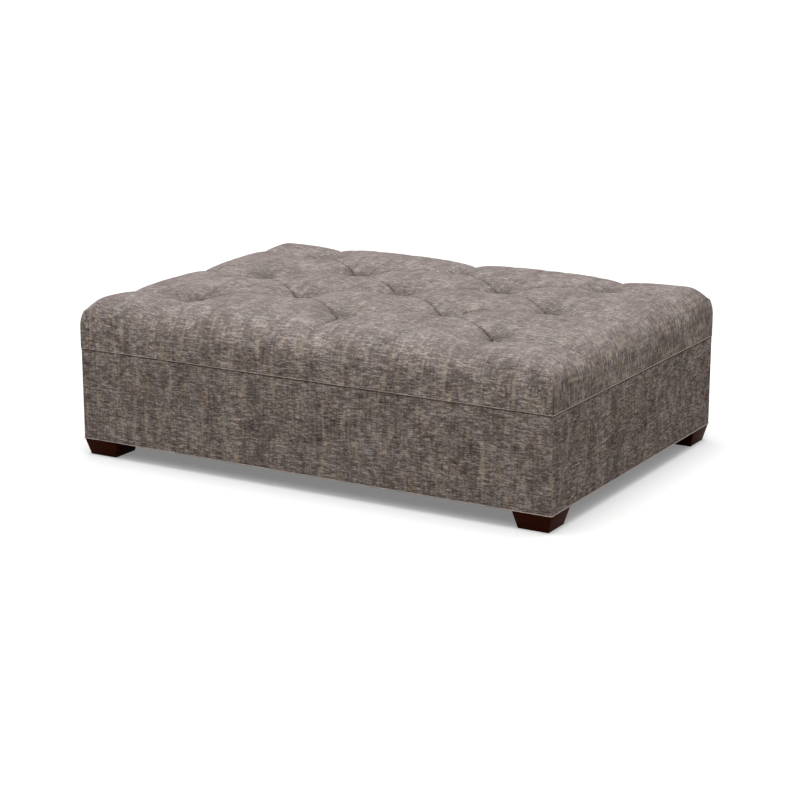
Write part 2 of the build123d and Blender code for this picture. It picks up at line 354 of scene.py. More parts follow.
def padding_rise(x, y):
    """Rise of the padding above the tufts: pillows inside, straight pleats out to the edges."""
    last_x, last_y = outer_column * pitch_x, outer_row * pitch_y
    out_a = np.clip((np.abs(x) - last_x) / (half_length - last_x), 0, 1)
    out_b = np.clip((np.abs(y) - last_y) / (half_width - last_y), 0, 1)
    a = np.abs(x) / (pitch_x * (1 + pleat_splay * out_b))
    b = np.abs(y) / (pitch_y * (1 + pleat_splay * out_a))
    inside = fill(np.abs(np.sin(math.pi * (a + b) / 2)), np.abs(np.sin(math.pi * (a - b) / 2)))
    across_a, across_b = np.abs(np.sin(math.pi * a / 2)), np.abs(np.sin(math.pi * b / 2))
    low_a = (pillow_rise - fill(across_a, across_a)) * (1 - (1 - pleat_depth_share) * out_b)
    low_b = (pillow_rise - fill(across_b, across_b)) * (1 - (1 - pleat_depth_share) * out_a)
    rise = np.where(out_b > 0, pillow_rise - low_a, inside)
    rise = np.where(out_a > 0, pillow_rise - low_b, rise)
    both = pillow_rise - low_a - low_b + low_a * low_b / pillow_rise
    rise = np.where((out_a > 0) & (out_b > 0), both, rise)
    inner_a, inner_b = np.minimum(a, outer_column), np.minimum(b, outer_row)
    middle = np.abs(np.sin(math.pi * (inner_a + inner_b) / 2) * np.sin(math.pi * (inner_a - inner_b) / 2))
    drop = np.where((x < 0) & (y > 0), back_left_drop, corner_drop)
    return rise + dome_rise * middle * ((1 - out_a) * (1 - out_b)) ** 2 - drop * out_a * out_b


def tufts():
    """Where the tufts are: every second crossing of the two sets of creases."""
    return [(i * pitch_x, j * pitch_y) for i in range(-outer_column, outer_column + 1)
            for j in range(-outer_row, outer_row + 1) if (i + j) % 2 == 0]


def near_tuft(x, y, radius):
    """1 on a tuft, falling away round it."""
    return np.max([np.exp(-((x - a) ** 2 + (y - b) ** 2) / radius ** 2) for a, b in tufts()], axis=0)


def lie(x, y):
    """How the whole padding leans and sags."""
    across, along = x / half_length, y / half_width
    return edge_lift_x * across ** 2 + edge_lift_y * along ** 2 + tilt_x * across + tilt_y * along


def pits(x, y):
    """How far the ties pull the surface down round each tuft, all the tufts to one height."""
    deep = np.zeros_like(x)
    for a, b in tufts():
        away = np.hypot(x - a, y - b) / pit_radius
        deep = np.maximum(deep, (tuft_height + lie(a, b) - tuft_floor) * np.exp(-away ** pit_power))
    return deep


def roll_shape_at(distance):
    """Width and roundness of the rolled edge at a distance along it from the corner."""
    width = roll_width - (roll_width - corner_roll_width) * np.exp(-(distance / roll_reach) ** 2)
    power = roll_power + (corner_roll_power - roll_power) * np.exp(-(distance / corner_reach) ** 2)
    return width, power


def roll(distance, width, power):
    """How far the edge has risen at a distance in from it: 0 at the wall, 1 past the roll."""
    t = np.clip(1 - distance / width, 0, 1)
    return np.maximum(1 - t ** power, 0) ** (1 / power)


def lumps(x, y):
    """Slight lumps of hand-laid stuffing, from about -2 to 2."""
    first = first_lumps[0] * x + first_lumps[1] * y + lump_bend * np.sin(lump_bend_waves[0] * y)
    second = second_lumps[1] * y + second_lumps[0] * x + lump_bend * np.sin(lump_bend_waves[1] * x)
    return np.sin(first) + np.sin(second)


def puckers(x, y):
    """Small folds that fan out from each tuft, highest at their reach."""
    folds = np.zeros_like(x)
    for k, (a, b) in enumerate(tufts()):
        away = np.hypot(x - a, y - b) / pucker_reach
        angle = np.arctan2(y - b, x - a)
        wave = np.sin(puckers_per_tuft * angle + pucker_turn * k + pucker_bunching * np.sin(angle + k))
        folds += wave * away ** 2 * np.exp(2 - 2 * away)
    return folds


def unevenness(x, y):
    """Lumps between the outer tufts, and puckers round every tuft."""
    inside_x = np.clip(outer_column - np.abs(x) / pitch_x, 0, 1)
    inside_y = np.clip(outer_row - np.abs(y) / pitch_y, 0, 1)
    share = np.minimum(inside_x * inside_y / lump_fade_pitches, 1)
    return uneven_depth * lumps(x, y) * share + pucker_depth * puckers(x, y)


def top_height(x, y):
    """Height of the padded surface, without its sharp pleats."""
    full = tuft_height + lie(x, y) + padding_rise(x, y) + unevenness(x, y) - pits(x, y)
    from_end, from_side = half_length - np.abs(x), half_width - np.abs(y)
    low_end = 1 - roll(from_end, *roll_shape_at(from_side))
    low_side = 1 - roll(from_side, *roll_shape_at(from_end))
    soft = low_end + low_side
    sharp = (low_end ** mitre_sharpness + low_side ** mitre_sharpness) ** (1 / mitre_sharpness)
    sharpened = np.clip((sharp - crest_start) / (crest_end - crest_start), 0, 1)
    low = np.minimum(soft + (sharp - soft) * sharpened, 1)
    return wall_height + (full - wall_height) * (1 - low)


def pleats(x, y):
    """For both sets of pleats: each point's offset from the nearest one, the way across and its strength."""
    a, b = x / pitch_x, y / pitch_y
    span = pitch_x * pitch_y / math.hypot(pitch_x, pitch_y)
    inside = (np.abs(a) <= outer_column) & (np.abs(b) <= outer_row)
    result = []
    for sign in (1, -1):
        across = a + sign * b
        offset = across - 2 * np.round(across / 2)
        along = a - sign * b
        from_tuft = np.abs(along - 2 * np.round(along / 2))
        normal = (1 / pitch_x, sign / pitch_y)
        size = math.hypot(*normal)
        strength = np.where(inside, np.clip(1 - from_tuft, 0, 1), 0)
        result.append((offset * span, (normal[0] / size, normal[1] / size), strength))
    return result


def cells(x, y, z, columns, rows):
    """The faces of a grid, each cut in two along its fold where it has one."""
    k = (np.arange(rows - 1)[:, None] * columns + np.arange(columns - 1)).ravel()
    n, m, p = k + 1, k + columns + 1, k + columns
    middle = top_height((x[k] + x[m]) / 2, (y[k] + y[m]) / 2)
    one, other = (z[k] + z[m]) / 2 - middle, (z[n] + z[p]) / 2 - middle
    kind = np.where(np.abs(one - other) < fold_limit, 0, np.where(np.abs(one) < np.abs(other), 1, 2))
    faces = []
    for a, b, c, d, fold in zip(*(i.tolist() for i in (k, n, m, p, kind))):
        faces += [[(a, b, c, d)], [(a, b, c), (a, c, d)], [(a, b, d), (b, c, d)]][fold]
    return faces


def roll_steps():
    """Distances in from the edge at equal steps along the roll, ending at the wall."""
    fine = roll_width * (1 - np.cos(np.linspace(0, math.pi / 2, roll_samples)))[::-1]
    height = (tuft_height + pillow_rise - wall_height) * roll(fine, roll_width, roll_power)
    run = np.concatenate([[0], np.cumsum(np.hypot(np.diff(fine), np.diff(height)))])
    steps = np.linspace(0, run[-1], int(run[-1] / roll_cell) + 1)
    return np.interp(steps, run, fine), steps


def grid_lines(half, pitch, outermost):
    """Places of the grid lines along one side, and how far along the flat cloth each one is."""
    tufted = outermost * cells_per_pitch
    inner = np.arange(-tufted, tufted + 1) * pitch / cells_per_pitch
    roll_in, roll_run = roll_steps()
    roll_start = half - roll_width
    count = int((roll_start - inner[-1]) / (pitch / cells_per_pitch)) + 1
    border = np.linspace(inner[-1], roll_start, count + 1)[1:]
    edge = half - roll_in[1:]
    flat_edge = roll_start + roll_run[1:]
    places = np.concatenate([-edge[::-1], -border[::-1], inner, border, edge])
    flat = np.concatenate([-flat_edge[::-1], -border[::-1], inner, border, flat_edge])
    return places, flat


def round_corners(x, y, half_x, half_y, radius):
    """Draws the points near an upright corner in, so that its square outline becomes round."""
    u = np.clip(1 - (half_x - np.abs(x)) / radius, 0, 1)
    v = np.clip(1 - (half_y - np.abs(y)) / radius, 0, 1)
    new_x = np.where(u * v > 0, half_x - radius + radius * u * np.sqrt(1 - v * v / 2), np.abs(x))
    new_y = np.where(u * v > 0, half_y - radius + radius * v * np.sqrt(1 - u * u / 2), np.abs(y))
    return np.sign(x) * new_x, np.sign(y) * new_y


def ring(columns, rows):
    """The index in a grid of each vertex round its edge, anticlockwise."""
    bottom = [j for j in range(columns)]
    right = [i * columns + columns - 1 for i in range(1, rows)]
    top = [(rows - 1) * columns + j for j in range(columns - 2, -1, -1)]
    left = [i * columns for i in range(rows - 2, 0, -1)]
    return bottom + right + top + left


def grid_faces(columns, rows):
    """The faces of a plain grid, row by row."""
    return [(k, k + 1, k + columns + 1, k + columns) for row in range(rows - 1)
            for k in range(row * columns, (row + 1) * columns - 1)]


def lay_cover(start, held):
    """The loose cover: a coarse sheet of cloth, a little large, pressed from inside and held where told."""
    sheet = add_mesh("loose_cover", start, grid_faces(sim_columns, sim_rows))
    group = sheet.vertex_groups.new(name="held")
    group.add(np.flatnonzero(held).tolist(), 1.0, "REPLACE")
    cloth = sheet.modifiers.new("cloth", "CLOTH").settings
    cloth.vertex_group_mass = "held"
    cloth.use_pressure = True
    cloth.uniform_pressure_force = sim_pressure
    cloth.effector_weights.gravity = 0
    cloth.shrink_min = -sim_looseness
    return sheet


def run_cloth(sheet):
    """Where the sheet's points come to rest. The sheet itself is then removed."""
    for frame_number in range(1, sim_frames + 1):
        bpy.context.scene.frame_set(frame_number)
    graph = bpy.context.evaluated_depsgraph_get()
    settled = np.empty(len(sheet.data.vertices) * 3)
    sheet.evaluated_get(graph).data.vertices.foreach_get("co", settled)
    bpy.data.objects.remove(sheet)
    bpy.context.scene.frame_set(1)
    return settled.reshape(-1, 3)


def between(grid, u, v):
    """What a grid of values gives between its points, where u and v count its columns and rows."""
    rows, columns = grid.shape[:2]
    i, j = np.minimum(u.astype(int), columns - 2), np.minimum(v.astype(int), rows - 2)
    s, t = (u - i)[:, None], (v - j)[:, None]
    near = grid[j, i] * (1 - s) + grid[j, i + 1] * s
    far = grid[j + 1, i] * (1 - s) + grid[j + 1, i + 1] * s
    return near * (1 - t) + far * t


def settle(x, y):
    """How far the loose cover moves: held at the tufts and round its rim, pressed up by the filling."""
    side_x, side_y = half_length - sim_margin, half_width - sim_margin
    across, along = np.linspace(-side_x, side_x, sim_columns), np.linspace(-side_y, side_y, sim_rows)
    place_x, place_y = (g.ravel() for g in np.meshgrid(across, along))
    start = np.column_stack([place_x, place_y, top_height(place_x, place_y)])
    at_tuft = near_tuft(place_x, place_y, tuft_hold) > hold_limit
    at_rim = (np.abs(place_x) == side_x) | (np.abs(place_y) == side_y)
    move = run_cloth(lay_cover(start, at_tuft | at_rim)) - start
    from_rim = np.minimum(side_x - np.abs(place_x), side_y - np.abs(place_y))
    move *= np.clip(from_rim / sim_edge_fade, 0, 1)[:, None]
    size = np.linalg.norm(move, axis=1)[:, None]
    move *= sim_reach * np.tanh(size / sim_reach) / np.maximum(size, least_move)
    u = np.clip((x + side_x) / (2 * side_x), 0, 1) * (sim_columns - 1)
    v = np.clip((y + side_y) / (2 * side_y), 0, 1) * (sim_rows - 1)
    return between(move.reshape(sim_rows, sim_columns, 3), u, v).T


def draw_in(x, y):
    """The points drawn in towards the pleats, and how deep in a pleat each one lies, from 0 to 1."""
    new_x, new_y, sunk = x.copy(), y.copy(), np.zeros(len(x))
    for offset, normal, strength in pleats(x, y):
        deep = strength ** pleat_fade_power
        pull = deep * gather_share * np.exp(-(offset / gather_width) ** 2) * offset
        new_x -= pull * normal[0]
        new_y -= pull * normal[1]
        sunk = np.maximum(sunk, deep * np.exp(-np.abs(offset) / pleat_width))
    return new_x, new_y, sunk


def crease_lines(x, y):
    """Shade along the creases and round the tufts."""
    line = np.zeros(len(x))
    for offset, _, strength in pleats(x, y):
        line = np.maximum(line, strength ** crease_line_power * np.exp(-(offset / crease_line_width) ** 2))
    shift_x, shift_y = tuft_shade_shift
    return np.maximum(line, tuft_shade * near_tuft(x - shift_x, y - shift_y, tuft_shade_radius))


def corner_seams(x, y, height):
    """Shade along the upright seams at the corners, fading out as they climb."""
    from_mitre = (half_length - np.abs(x)) - (half_width - np.abs(y))
    fade = np.clip((corner_seam_top - height) / (corner_seam_top - wall_height), 0, 1)
    return corner_seam_shade * np.exp(-(from_mitre / corner_seam_width) ** 2) * fade


def make_top():
    """The tufted cover with its filling: pillows, pleats, rolled edges and the walls down to the seam."""
    lines_x, flat_x = grid_lines(half_length, pitch_x, outer_column)
    lines_y, flat_y = grid_lines(half_width, pitch_y, outer_row)
    columns, rows = len(lines_x), len(lines_y)
    x, y = (g.ravel() for g in np.meshgrid(lines_x, lines_y))
    u, v = (g.ravel() for g in np.meshgrid(flat_x, flat_y))
    full = top_height(x, y)
    new_x, new_y, sunk = draw_in(x, y)
    z = np.minimum(full, np.maximum(full - pleat_depth * sunk, tuft_floor))
    new_x, new_y = round_corners(new_x, new_y, half_length, half_width, corner_radius)
    move = settle(x, y)
    new_x, new_y, z = new_x + move[0], new_y + move[1], z + move[2]
    mitre = corner_seams(x, y, full)
    points = [np.stack([new_x, new_y, z], 1)]
    flat = [np.stack([u, v], 1)]
    shades = [np.maximum(crease_lines(x, y), mitre)]
    faces = cells(x, y, full, columns, rows)

    # The walls, ring by ring down from the edge, with one more ring just above the seam for its shade
    edge = ring(columns, rows)
    drop = wall_height - seam_z
    shares = np.append(np.linspace(0, 1, int(drop / wall_cell) + 2)[1:], 1 - shade_depth / drop)
    out_u = np.sign(u[edge]) * (np.abs(np.abs(x[edge]) - half_length) < tolerance)
    out_v = np.sign(v[edge]) * (np.abs(np.abs(y[edge]) - half_width) < tolerance)
    above, count = edge, columns * rows
    for share in np.sort(shares):
        level = np.full(len(edge), wall_height - share * drop)
        points.append(np.stack([new_x[edge], new_y[edge], level], 1))
        flat.append(np.stack([u[edge] + out_u * share * drop, v[edge] + out_v * share * drop], 1))
        shades.append(np.maximum(mitre[edge], cover_seam_shade * (share == 1)))
        below = list(range(count, count + len(edge)))
        count += len(edge)
        for k in range(len(edge)):
            n = (k + 1) % len(edge)
            faces.append((above[k], below[k], below[n], above[n]))
        above = below
    faces.append(tuple(reversed(above)))
    piece = add_mesh("tufted_top", np.concatenate(points), faces)
    add_cloth_map(piece, np.concatenate(flat))
    add_painted_shade(piece, np.concatenate(shades))
    return piece


def add_cloth_map(piece, flat):
    """Stores where each point lies on the flat cloth, in metres, as a UV map."""
    layer = piece.data.uv_layers.new(name="cloth")
    corners = np.empty(len(piece.data.loops), int)
    piece.data.loops.foreach_get("vertex_index", corners)
    layer.data.foreach_set("uv", flat[corners].ravel())


def add_painted_shade(piece, shades):
    """Stores each point's painted shade as the attribute that darkens the cloth."""
    painted_shade = piece.data.attributes.new("painted_shade", "FLOAT", "POINT")
    painted_shade.data.foreach_set("value", shades)


# Body

def outline(side):
    """One side of the body in plan, from corner to corner: its points, their normals and how far along."""
    half_x, half_y = (body_half_x, body_half_y) if side in ("front", "back") else (body_half_y, body_half_x)
    bend = np.linspace(math.pi / 4, 0, corner_steps)
    arc_normals = np.stack([-np.sin(bend), -np.cos(bend)], 1)
    arc = np.array([body_radius - half_x, body_radius - half_y]) + body_radius * arc_normals
    straight = 2 * (half_x - body_radius)
    count = int(straight / panel_cell)
    middle = np.linspace(-half_x + body_radius, half_x - body_radius, count + 1)[1:-1]
    line = np.stack([middle, np.full(len(middle), -half_y)], 1)
    line_normals = np.tile((0.0, -1.0), (len(middle), 1))
    path = np.concatenate([arc, line, arc[::-1] * (-1, 1)])
    normals = np.concatenate([arc_normals, line_normals, arc_normals[::-1] * (-1, 1)])
    turn = sides.index(side) * math.pi / 2
    matrix = np.array([[math.cos(turn), math.sin(turn)], [-math.sin(turn), math.cos(turn)]])
    run = np.concatenate([[0], np.cumsum(np.hypot(*np.diff(path, axis=0).T))])
    return path @ matrix, normals @ matrix, run - run[-1] / 2


def make_panel(side, seam_flat):
    """One upholstered side: fabric over thin padding, with its ends tucked in at the upright corner seams."""
    path, normals, run = outline(side)
    near_seam, near_hem = seam_z - fold_height, hem_z + fold_height
    levels = np.linspace(hem_z, seam_z, int((seam_z - hem_z) / panel_cell) + 1)
    extra = [near_seam - shade_reach, near_seam - shade_depth, near_seam, near_hem, near_hem + shade_reach]
    levels = np.sort(np.concatenate([levels, extra]))
    under_seam = levels > near_seam - shade_depth - tolerance
    over_hem = levels < near_hem + tolerance
    shades = seam_shade * under_seam + hem_shade * over_hem
    end = run[-1] - np.abs(run)
    points, flat = [], []
    for z in levels:
        share = (z - hem_z) / (seam_z - hem_z)
        out = panel_swell * np.sin(math.pi * share) * (1 - np.exp(-end / swell_start))
        out -= panel_tuck * np.exp(-(end / tuck_width) ** 2)
        points.append(np.column_stack([path + normals * out[:, None], np.full(len(run), z)]))
        flat.append(np.stack([run, np.full(len(run), z - seam_z - seam_flat)], 1))
    outer = np.concatenate(points)
    depth = np.column_stack([normals, np.zeros(len(run))]) * cloth_thickness
    inner = outer - np.tile(depth, (len(levels), 1))
    columns, rows = len(run), len(levels)
    faces = grid_faces(columns, rows)
    shift = len(outer)
    faces += [tuple(k + shift for k in reversed(f)) for f in faces]
    edge = ring(columns, rows)
    for k, n in zip(edge, edge[1:] + edge[:1]):
        faces.append((n, k, k + shift, n + shift))
    piece = add_mesh(side + "_upholstery", np.concatenate([outer, inner]), faces)
    add_cloth_map(piece, np.concatenate(flat * 2))
    add_painted_shade(piece, np.tile(np.repeat(shades, columns), 2))
    return piece


def flatten(piece, sharp_angle=None):
    """Turns the piece's modifiers into plain mesh."""
    graph = bpy.context.evaluated_depsgraph_get()
    mesh = bpy.data.meshes.new_from_object(piece.evaluated_get(graph))
    piece.modifiers.clear()
    piece.data = mesh
    if sharp_angle:
        mesh.set_sharp_from_angle(angle=math.radians(sharp_angle))
    return piece


def input_id(tree, name):
    """The identifier that a modifier knows one of the tree's inputs by."""
    return next(i.identifier for i in tree.interface.items_tree if i.name == name and i.in_out == "INPUT")


def new_tree(name, **inputs):
    """A Geometry Nodes tree with named inputs and one geometry output, and its two end nodes."""
    tree = bpy.data.node_groups.new(name, "GeometryNodeTree")
    for label, kind in inputs.items():
        tree.interface.new_socket(label, in_out="INPUT", socket_type="NodeSocket" + kind)
    tree.interface.new_socket("Geometry", in_out="OUTPUT", socket_type="NodeSocketGeometry")
    return tree, tree.nodes.new("NodeGroupInput").outputs, tree.nodes.new("NodeGroupOutput")


def grow(name, tree, **values):
    """The plain mesh that the tree makes with these sizes."""
    piece = add_mesh(name, [], [])
    modifier = piece.modifiers.new(name, "NODES")
    modifier.node_group = tree
    for label, value in values.items():
        modifier[input_id(tree, label)] = value
    return flatten(piece)


def fold_tree():
    """A thin folded lip of cloth that follows a rounded rectangle."""
    tree, given, end = new_tree("folded_lip", length="Float", width="Float", corner="Float", height="Float",
                                proud="Float", level="Float", cloth="Material")
    path = add_node(tree, "GeometryNodeCurvePrimitiveQuadrilateral", Width=given["length"],
                    Height=given["width"])
    bent = add_node(tree, "GeometryNodeFilletCurve", {"mode": "POLY"}, Curve=path.outputs[0],
                    Count=fold_corner_steps, Radius=given["corner"])
    across = add_node(tree, "ShaderNodeCombineXYZ", X=given["proud"], Y=given["height"], Z=1.0)
    bead = add_node(tree, "GeometryNodeCurvePrimitiveCircle", Resolution=fold_sides, Radius=1.0)
    shape = add_node(tree, "GeometryNodeTransform", Geometry=bead.outputs[0], Scale=across.outputs[0])
    swept = add_node(tree, "GeometryNodeCurveToMesh", Curve=bent.outputs[0], i1=shape.outputs[0])
    lift = add_node(tree, "ShaderNodeCombineXYZ", Z=given["level"])
    placed = add_node(tree, "GeometryNodeTransform", Geometry=swept.outputs[0], Translation=lift.outputs[0])
    real = add_node(tree, "GeometryNodeRealizeInstances", Geometry=placed.outputs[0])
    done = add_node(tree, "GeometryNodeSetMaterial", Geometry=real.outputs[0], Material=given["cloth"])
    tree.links.new(done.outputs[0], end.inputs[0])
    return tree


def make_fold(name, tree, level, cloth):
    """One folded seam edge round the whole body."""
    fold = grow(name, tree, length=2 * body_half_x, width=2 * body_half_y, corner=body_radius,
                height=fold_height / 2, proud=fold_proud, level=level, cloth=cloth)
    fold.data.shade_smooth()
    place = np.empty(len(fold.data.vertices) * 3)
    fold.data.vertices.foreach_get("co", place)
    x, y, z = place.reshape(-1, 3).T
    add_cloth_map(fold, np.stack([np.where(np.abs(y) > body_half_y - 2 * body_radius, x, y), z], 1))
    return fold


def staple_tree(lines):
    """Staples at an even pitch along straight lines."""
    tree, given, end = new_tree("staple_rows", pitch="Float", size="Vector", steel="Material")
    rows = add_node(tree, "GeometryNodeJoinGeometry")
    for start, stop in lines:
        line = add_node(tree, "GeometryNodeCurvePrimitiveLine", Start=start, End=stop)
        tree.links.new(line.outputs[0], rows.inputs[0])
    spots = add_node(tree, "GeometryNodeCurveToPoints", {"mode": "LENGTH"}, Curve=rows.outputs[0],
                     Length=given["pitch"])
    turned = add_node(tree, "FunctionNodeAlignRotationToVector", {"axis": "X"},
                      Vector=spots.outputs["Tangent"])
    crown = add_node(tree, "GeometryNodeMeshCube", Size=given["size"])
    each = add_node(tree, "GeometryNodeInstanceOnPoints", Points=spots.outputs[0], Instance=crown.outputs[0],
                    Rotation=turned.outputs[0])
    real = add_node(tree, "GeometryNodeRealizeInstances", Geometry=each.outputs[0])
    done = add_node(tree, "GeometryNodeSetMaterial", Geometry=real.outputs[0], Material=given["steel"])
    tree.links.new(done.outputs[0], end.inputs[0])
    return tree


def make_staples(steel):
    """The staples that hold the dust cover to the rails, between the feet."""
    low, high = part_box("dust_cover")
    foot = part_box("foot_back_right")[0]
    x, y = high.x - staple_inset, high.y - staple_inset
    end_x, end_y = foot.x - staple_inset, foot.y - staple_inset
    lines = [((-end_x, s * y, low.z), (end_x, s * y, low.z)) for s in (-1, 1)]
    lines += [((s * x, -end_y, low.z), (s * x, end_y, low.z)) for s in (-1, 1)]
    return grow("dust_cover_staples", staple_tree(lines), pitch=staple_pitch, size=staple_size, steel=steel)


def foot_taper(name):
    """How much narrower the foot is at the floor, on each side."""
    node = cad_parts[name]
    low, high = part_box(name)
    at_floor = [v.co.x for v in node.data.vertices if v.co.z < low.z + MM]
    return (high.x - low.x - (max(at_floor) - min(at_floor))) / 2


def make_foot(name):
    """A tapered block foot with slightly eased edges."""
    low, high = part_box(name)
    centre, taper = (low + high) / 2, foot_taper(name)
    corners = [(low.x, low.y), (high.x, low.y), (high.x, high.y), (low.x, high.y)]
    bottom = [(x - math.copysign(taper, x - centre.x), y - math.copysign(taper, y - centre.y), low.z)
              for x, y in corners]
    top = [(x, y, high.z) for x, y in corners]
    faces = [(3, 2, 1, 0), (4, 5, 6, 7), (0, 1, 5, 4), (1, 2, 6, 5), (2, 3, 7, 6), (3, 0, 4, 7)]
    foot = add_mesh(name + "_block", bottom + top, faces)
    bevel = foot.modifiers.new("eased edges", "BEVEL")
    bevel.width = foot_bevel
    bevel.segments = foot_bevel_steps
    return flatten(foot, sharp_angle=foot_edge_angle)


# Materials

def yarn_rows(tree, cloth):
    """Places on the cloth, gathered into the rows of its yarns, which waver a little."""
    waver = add_node(tree, "ShaderNodeTexNoise", flat_noise, Vector=cloth, Scale=wavers_per_metre, Detail=1.0)
    split = add_node(tree, "ShaderNodeSeparateXYZ", Vector=cloth)
    bent = add_node(tree, "ShaderNodeMath", times_plus, i0=waver.outputs[0], i1=yarn_waver,
                    i2=split.outputs["Y"])
    row = add_node(tree, "ShaderNodeMath", {"operation": "SNAP"}, i0=bent.outputs[0], i1=yarn_pitch)
    return add_node(tree, "ShaderNodeCombineXYZ", X=split.outputs["X"], Y=row.outputs[0]).outputs[0]


def weave(tree, cloth):
    """The tone of the woven cloth, from 0 to 1, then that of its yarns alone, and its bands of beige."""
    rows = yarn_rows(tree, cloth)
    tone, tones, waves = 0.5, [], []
    for k, (length, height, weight) in enumerate(yarn_layers + patch_layers):
        place = rows if k < len(yarn_layers) else cloth
        scaled = add_node(tree, "ShaderNodeMapping", Vector=place, Scale=(1 / length, 1 / height, 1),
                          Location=(layer_shift[0] * k, layer_shift[1] * k, 0))
        noise = add_node(tree, "ShaderNodeTexNoise", flat_noise, Vector=scaled.outputs[0], Scale=1.0,
                         Detail=1.0, Roughness=0.5)
        wave = add_node(tree, "ShaderNodeMath", {"operation": "SUBTRACT"}, i0=noise.outputs[0], i1=0.5)
        tone = add_node(tree, "ShaderNodeMath", times_plus, i0=wave.outputs[0], i1=weight, i2=tone).outputs[0]
        tones.append(tone)
        waves.append(wave.outputs[0])
    return tone, tones[len(yarn_layers) - 1], waves[beige_layer]


def warp_streaks(tree, cloth, yarns):
    """How strongly pale warp yarns show: long streaks, broken where the weft crosses them."""
    place = add_node(tree, "ShaderNodeMapping", Vector=cloth, Location=streak_shift,
                     Scale=(1 / streak_width, 1 / streak_length, 1))
    noise = add_node(tree, "ShaderNodeTexNoise", flat_noise, Vector=place.outputs[0], Scale=1.0, Detail=1.0)
    broken = add_node(tree, "ShaderNodeMath", times_plus, i0=yarns, i1=streak_break, i2=noise.outputs[0])
    share = add_node(tree, "ShaderNodeMapRange", Value=broken.outputs[0],
                     **{"From Min": 0.74, "From Max": 0.94, "To Min": 0.0, "To Max": 0.52})
    return share.outputs[0]


def dye_patches(tree, cloth):
    """Two close shades of dye that run into each other."""
    place = add_node(tree, "ShaderNodeMapping", Vector=cloth, Scale=dyes_per_metre, Location=dye_shift)
    noise = add_node(tree, "ShaderNodeTexNoise", flat_noise, Vector=place.outputs[0], Scale=1.0, Detail=3.0,
                     Roughness=0.6)
    share = add_node(tree, "ShaderNodeMapRange", Value=noise.outputs[0],
                     **{"From Min": 0.3, "From Max": 0.7})
    mixed = add_node(tree, "ShaderNodeMix", colour_mix, Factor=share.outputs[0], i6=srgb(dyes[0]),
                     i7=srgb(dyes[1]))
    return mixed.outputs[2]


def chenille(name, tone_and_painted_light=1.0, worn=0.0):
    """Chenille that follows the flat cloth. Its lightness is its own tone, with painted shade on the sides
    and a painted highlight on the seam folds; worn is how far its tone is evened.
    """
    material, tree = new_material(name)
    cloth = add_node(tree, "ShaderNodeUVMap", {"uv_map": "cloth"}).outputs[0]
    tone, yarns, bands = weave(tree, cloth)

    # The yarns' tone, calmer on the top
    normal = add_node(tree, "ShaderNodeNewGeometry").outputs["Normal"]
    facing = add_node(tree, "ShaderNodeSeparateXYZ", Vector=normal)
    upward = add_node(tree, "ShaderNodeMapRange", Value=facing.outputs["Z"]).outputs[0]
    calm = add_node(tree, "ShaderNodeMath", times_plus, i0=upward, i1=top_calm, i2=worn)
    evened = add_node(tree, "ShaderNodeMix", Factor=calm.outputs[0], i2=tone, i3=0.5)
    ramp = add_node(tree, "ShaderNodeValToRGB", Fac=evened.outputs[0])
    stops = ramp.color_ramp.elements
    stops.new(0.5)
    for stop, (place, colour) in zip(stops, yarn_tones):
        stop.position = place
        stop.color = srgb(colour)

    # Beige bands and pale streaks, fainter on the top
    side_share = add_node(tree, "ShaderNodeMath", times_plus, i0=upward, i1=-top_fade, i2=1.0).outputs[0]
    band = add_node(tree, "ShaderNodeMapRange", Value=bands,
                    **{"From Min": 0.05, "From Max": 0.22, "To Min": 0.0, "To Max": 0.8})
    band_share = add_node(tree, "ShaderNodeMath", {"operation": "MULTIPLY"}, i0=band.outputs[0],
                          i1=side_share)
    banded = add_node(tree, "ShaderNodeMix", colour_multiply, Factor=band_share.outputs[0],
                      i6=ramp.outputs[0], i7=srgb(beige_band))
    streak_share = add_node(tree, "ShaderNodeMath", {"operation": "MULTIPLY"},
                            i0=warp_streaks(tree, cloth, yarns), i1=side_share)
    streaked = add_node(tree, "ShaderNodeMix", colour_mix, Factor=streak_share.outputs[0],
                        i6=banded.outputs[2], i7=srgb(pale_streak))

    # Dye, a painted cooler light on the top, and painted shade at the creases, tufts and seams
    dyed = add_node(tree, "ShaderNodeMix", colour_multiply, Factor=1.0, i6=streaked.outputs[2],
                    i7=dye_patches(tree, cloth))
    lit = add_node(tree, "ShaderNodeMix", colour_multiply, Factor=upward, i6=dyed.outputs[2],
                   i7=srgb(painted_top_light))
    painted_shade = add_node(tree, "ShaderNodeAttribute", {"attribute_name": "painted_shade"})
    left = add_node(tree, "ShaderNodeMath", times_plus, i0=painted_shade.outputs["Fac"], i1=-crease_shade * tone_and_painted_light,
                    i2=tone_and_painted_light)
    shaded = add_node(tree, "ShaderNodeVectorMath", {"operation": "SCALE"}, i0=lit.outputs[2],
                      Scale=left.outputs[0])
    bump = add_node(tree, "ShaderNodeBump", Height=yarns, Strength=0.5, Distance=yarn_relief)
    shader = add_node(tree, "ShaderNodeBsdfPrincipled", Roughness=0.95, Normal=bump.outputs[0],
                      **{"Base Color": shaded.outputs[0], "Specular IOR Level": 0.0})
    add_node(tree, "ShaderNodeOutputMaterial", i0=shader.outputs[0])
    return material


